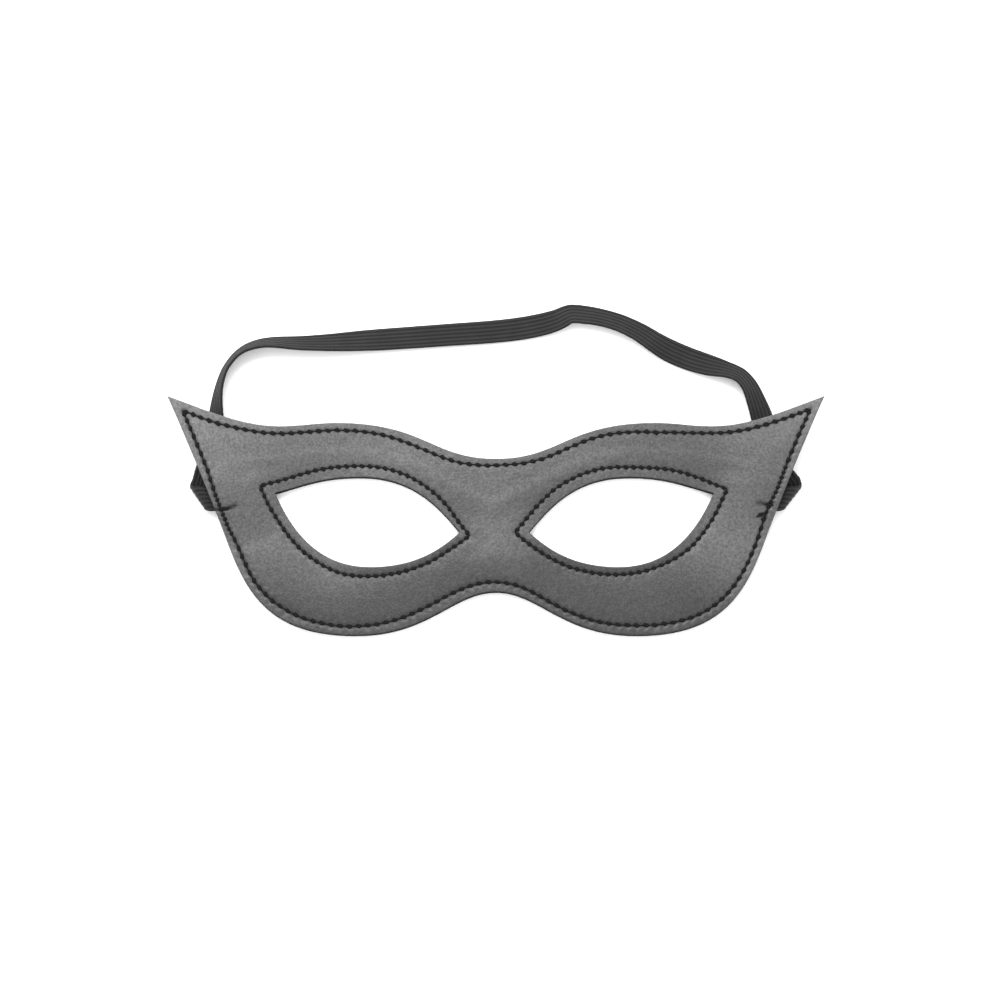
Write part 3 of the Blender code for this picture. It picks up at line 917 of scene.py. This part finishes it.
def thread_row(line, number, height, above, steps, sides, seed, slim=1.0):
    """One row of stitches as a thread that swells in each stitch and dips between them."""
    draw = np.random.default_rng(seed)
    total = int(round(number[-1]))
    at = np.arange(total * steps + 1) / steps
    run = np.interp(at, number, lengths(line))
    own = lengths(line)
    place = np.stack([np.interp(run, own, line[:, i]) for i in (0, 1)], axis=1)
    ahead = headings(place)
    beside = np.stack([-ahead[:, 1], ahead[:, 0]], axis=1)
    stitch = np.minimum(at.astype(int), total - 1)
    phase = at - stitch
    big = draw.uniform(0.88, 1.1, total)[stitch]
    shift = draw.normal(0.0, 0.00005, total)[stitch]
    swell = np.exp(-(np.abs(phase - 0.5) / 0.285) ** 3.0) * big
    lateral = -0.00016 * np.sin(2.0 * math.pi * (phase - 0.5)) * swell + shift * swell
    place = place + beside * lateral[:, None]
    z = height(place)
    wide = (0.00019 + 0.00052 * swell) * slim
    tall = (0.00018 + 0.00026 * swell) * slim
    centre = z + above * (0.00002 + 0.00020 * swell)
    turn = np.arange(sides) / sides * 2.0 * math.pi
    lobes = 1.0 + 0.10 * np.cos(3.0 * turn[None, :] - 2.0 * math.pi * at[:, None] * 1.6)
    x = np.cos(turn)[None, :] * wide[:, None] * lobes
    up = np.sin(turn)[None, :] * tall[:, None] * lobes
    verts = np.stack([
        place[:, 0][:, None] + beside[:, 0][:, None] * x,
        place[:, 1][:, None] + beside[:, 1][:, None] * x,
        centre[:, None] + up], axis=2).reshape(-1, 3)
    faces = []
    for i in range(len(at) - 1):
        for j in range(sides):
            k = (j + 1) % sides
            faces.append((i * sides + j, i * sides + k, (i + 1) * sides + k, (i + 1) * sides + j))
    faces.append(tuple(reversed(range(sides))))
    faces.append(tuple((len(at) - 1) * sides + j for j in range(sides)))
    return verts, [tuple(reversed(face)) for face in faces]


def threads(name, lines, height, above, steps, sides, slim):
    verts, faces, base = [], [], 0
    for index, (line, number) in enumerate(lines):
        v, f = thread_row(line, number, height, above, steps, sides, 40 + index, slim)
        verts.append(v)
        faces += [tuple(i + base for i in face) for face in f]
        base += len(v)
    return mesh_object(name, np.vstack(verts), faces, thread)


tacks = []
for side, start, end in TACKS:
    tack = even(np.array([by_tab(side, *start), by_tab(side, *end)]), 0.0001)
    tacks.append((tack, np.linspace(0.0, 1.0, len(tack))))


def under_thread(points):
    """The underside's thread lies in its groove, level with the lining."""
    return np.maximum(under_height(points), 0.00053)


face_stitches = threads("stitches_face", rows, face_height, 1.0, 14, 10, 1.0)
back_tacks = threads("back_tacks", tacks, lambda points: face_height(points) + 0.0002, 1.0, 16, 10, 0.85)
under_stitches = threads("stitches_under", rows, under_thread, -1.0, 10, 8, 0.55)


# ---- Strap

def strap_object():
    """The ribbed band along the frame's sections."""
    end = strap_run[-1]
    at = [0.0]
    middle = (strap_low + strap_high) / 2
    bend = np.zeros(len(middle))
    ahead = np.diff(middle, axis=0)
    ahead /= np.linalg.norm(ahead, axis=1)[:, None]
    bend[1:-1] = np.degrees(np.arccos(np.clip((ahead[1:] * ahead[:-1]).sum(axis=1), -1, 1)))
    bend = np.convolve(bend, np.ones(3) / 3, mode="same")
    while at[-1] < end:
        tight = np.interp(at[-1], strap_run, bend)
        at.append(at[-1] + (0.00016 if tight > 8 else 0.00045))
    at = np.array(at[:-1] + [end])
    low = np.stack([np.interp(at, *fine) for fine in refined(strap_low)], axis=1)
    high = np.stack([np.interp(at, *fine) for fine in refined(strap_high)], axis=1)
    columns = RIBS * 6 + 1
    share = np.linspace(0.0, 1.0, columns)
    rib = np.abs(np.sin(share * RIBS * math.pi)) ** 0.55
    rim = np.minimum(share, 1.0 - share) * 0.008
    rounding = 0.00022 * (1.0 - ease(0.0, 0.0006, rim))
    half = STRAP_THICKNESS / 2 - RIB_DEPTH * (1.0 - rib) - rounding
    sheet = low[:, None, :] * (1 - share)[None, :, None] + high[:, None, :] * share[None, :, None]
    along = np.gradient(sheet, axis=0)
    across = np.gradient(sheet, axis=1)
    normal = np.cross(along, across)
    normal /= np.linalg.norm(normal, axis=2)[:, :, None]
    upper = sheet + normal * half[None, :, None]
    lower = sheet - normal * half[None, :, None]
    ring = np.concatenate([upper, lower[:, ::-1]], axis=1)
    count, around = ring.shape[:2]
    faces = []
    for i in range(count - 1):
        for j in range(around):
            k = (j + 1) % around
            faces.append((i * around + j, i * around + k, (i + 1) * around + k, (i + 1) * around + j))
    faces.append(tuple(reversed(range(around))))
    faces.append(tuple((count - 1) * around + j for j in range(around)))
    made = mesh_object("ribbed_elastic", ring.reshape(-1, 3), faces, elastic)
    both = np.concatenate([share, share[::-1]])
    paint(made, "along", np.repeat(at / MM, around))
    paint(made, "across", np.tile(both * 8.0, count))
    # the ribs' hollows and the band's edges, which the elastic's colour darkens as painted shade
    deep = np.concatenate([1.0 - rib, (1.0 - rib)[::-1]])
    edge = np.concatenate([1.0 - ease(0.0, 0.05, np.minimum(share, 1 - share))] * 2)
    paint(made, "groove", np.tile(np.clip(deep + edge, 0, 1), count))
    return made


def refined(line):
    """The line's coordinates as tables over the strap's own length."""
    fine = np.linspace(0.0, strap_run[-1], 6000)
    index = np.clip(np.searchsorted(strap_run, fine, side="right") - 1, 0, len(strap_run) - 2)
    tangent = np.gradient(line, strap_run, axis=0, edge_order=2)
    gap = (strap_run[index + 1] - strap_run[index])[:, None]
    t = (fine - strap_run[index])[:, None] / gap
    t2, t3 = t * t, t * t * t
    made = ((2 * t3 - 3 * t2 + 1) * line[index] + (t3 - 2 * t2 + t) * gap * tangent[index]
            + (3 * t2 - 2 * t3) * line[index + 1] + (t3 - t2) * gap * tangent[index + 1])
    return [(fine, made[:, axis]) for axis in range(3)]


ribbed = strap_object()

# ---- What each piece stands for

for piece, stands_for, finish in (
        (leather_front, ["front_panel"], "faux_leather"),
        (leather_back, ["back_panel"], "lining"),
        (face_stitches, [], "elastic"),
        (back_tacks, [], "elastic"),
        (under_stitches, [], "elastic"),
        (ribbed, ["elastic_strap"], "elastic")):
    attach(piece, "root")
    if stands_for:
        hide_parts(*stands_for)

# ---- Floor, camera and light

FLOOR_SIZE = 4.0
CAMERA_DISTANCE = 0.9
CAMERA_ELEVATION = 78.0
METRES_PER_PIXEL = 0.00032877
PHOTO_SIDE = 990
TARGET = Vector((-0.0003, 0.0104, 0.0))

floor_paint, floor_tree, floor_body = shader("white_floor", (0.92, 0.92, 0.92), 0.9)
floor_body.inputs["Specular IOR Level"].default_value = 0.0
floor_mesh = bpy.data.meshes.new("floor")
half = FLOOR_SIZE / 2
floor_mesh.from_pydata([(-half, -half, 0), (half, -half, 0), (half, half, 0), (-half, half, 0)],
                       [], [(0, 1, 2, 3)])
floor_mesh.materials.append(floor_paint)
floor = bpy.data.objects.new("floor", floor_mesh)
floor.location.z = -0.0001
bpy.context.scene.collection.objects.link(floor)

tilt = math.radians(CAMERA_ELEVATION)
back = Vector((0.0, -math.cos(tilt), math.sin(tilt)))
camera_data = bpy.data.cameras.new("camera")
camera_data.lens = (camera_data.sensor_width / 2
                    / (PHOTO_SIDE * METRES_PER_PIXEL / 2 / CAMERA_DISTANCE))
camera = bpy.data.objects.new("camera", camera_data)
camera.location = TARGET + back * CAMERA_DISTANCE
camera.rotation_mode = "QUATERNION"
camera.rotation_quaternion = (-back).to_track_quat("-Z", "Y")
bpy.context.scene.collection.objects.link(camera)
bpy.context.scene.camera = camera


def area_light(name, place, aim, size, power):
    data = bpy.data.lights.new(name, "AREA")
    data.shape = "RECTANGLE"
    data.size, data.size_y = size
    data.energy = power
    made = bpy.data.objects.new(name, data)
    made.location = place
    made.rotation_mode = "QUATERNION"
    made.rotation_quaternion = (Vector(aim) - Vector(place)).to_track_quat("-Z", "Y")
    bpy.context.scene.collection.objects.link(made)
    return made


area_light("key", (-0.08, 0.25, 0.38), (0, 0, 0), (0.36, 0.26), 2.2)
world = bpy.data.worlds.new("studio")
bpy.context.scene.world = world
world.use_nodes = True
sky = world.node_tree.nodes["Background"]
sky.inputs["Color"].default_value = (1.0, 1.0, 1.0, 1.0)
sky.inputs["Strength"].default_value = 1.75
bpy.context.scene.view_settings.view_transform = "Standard"
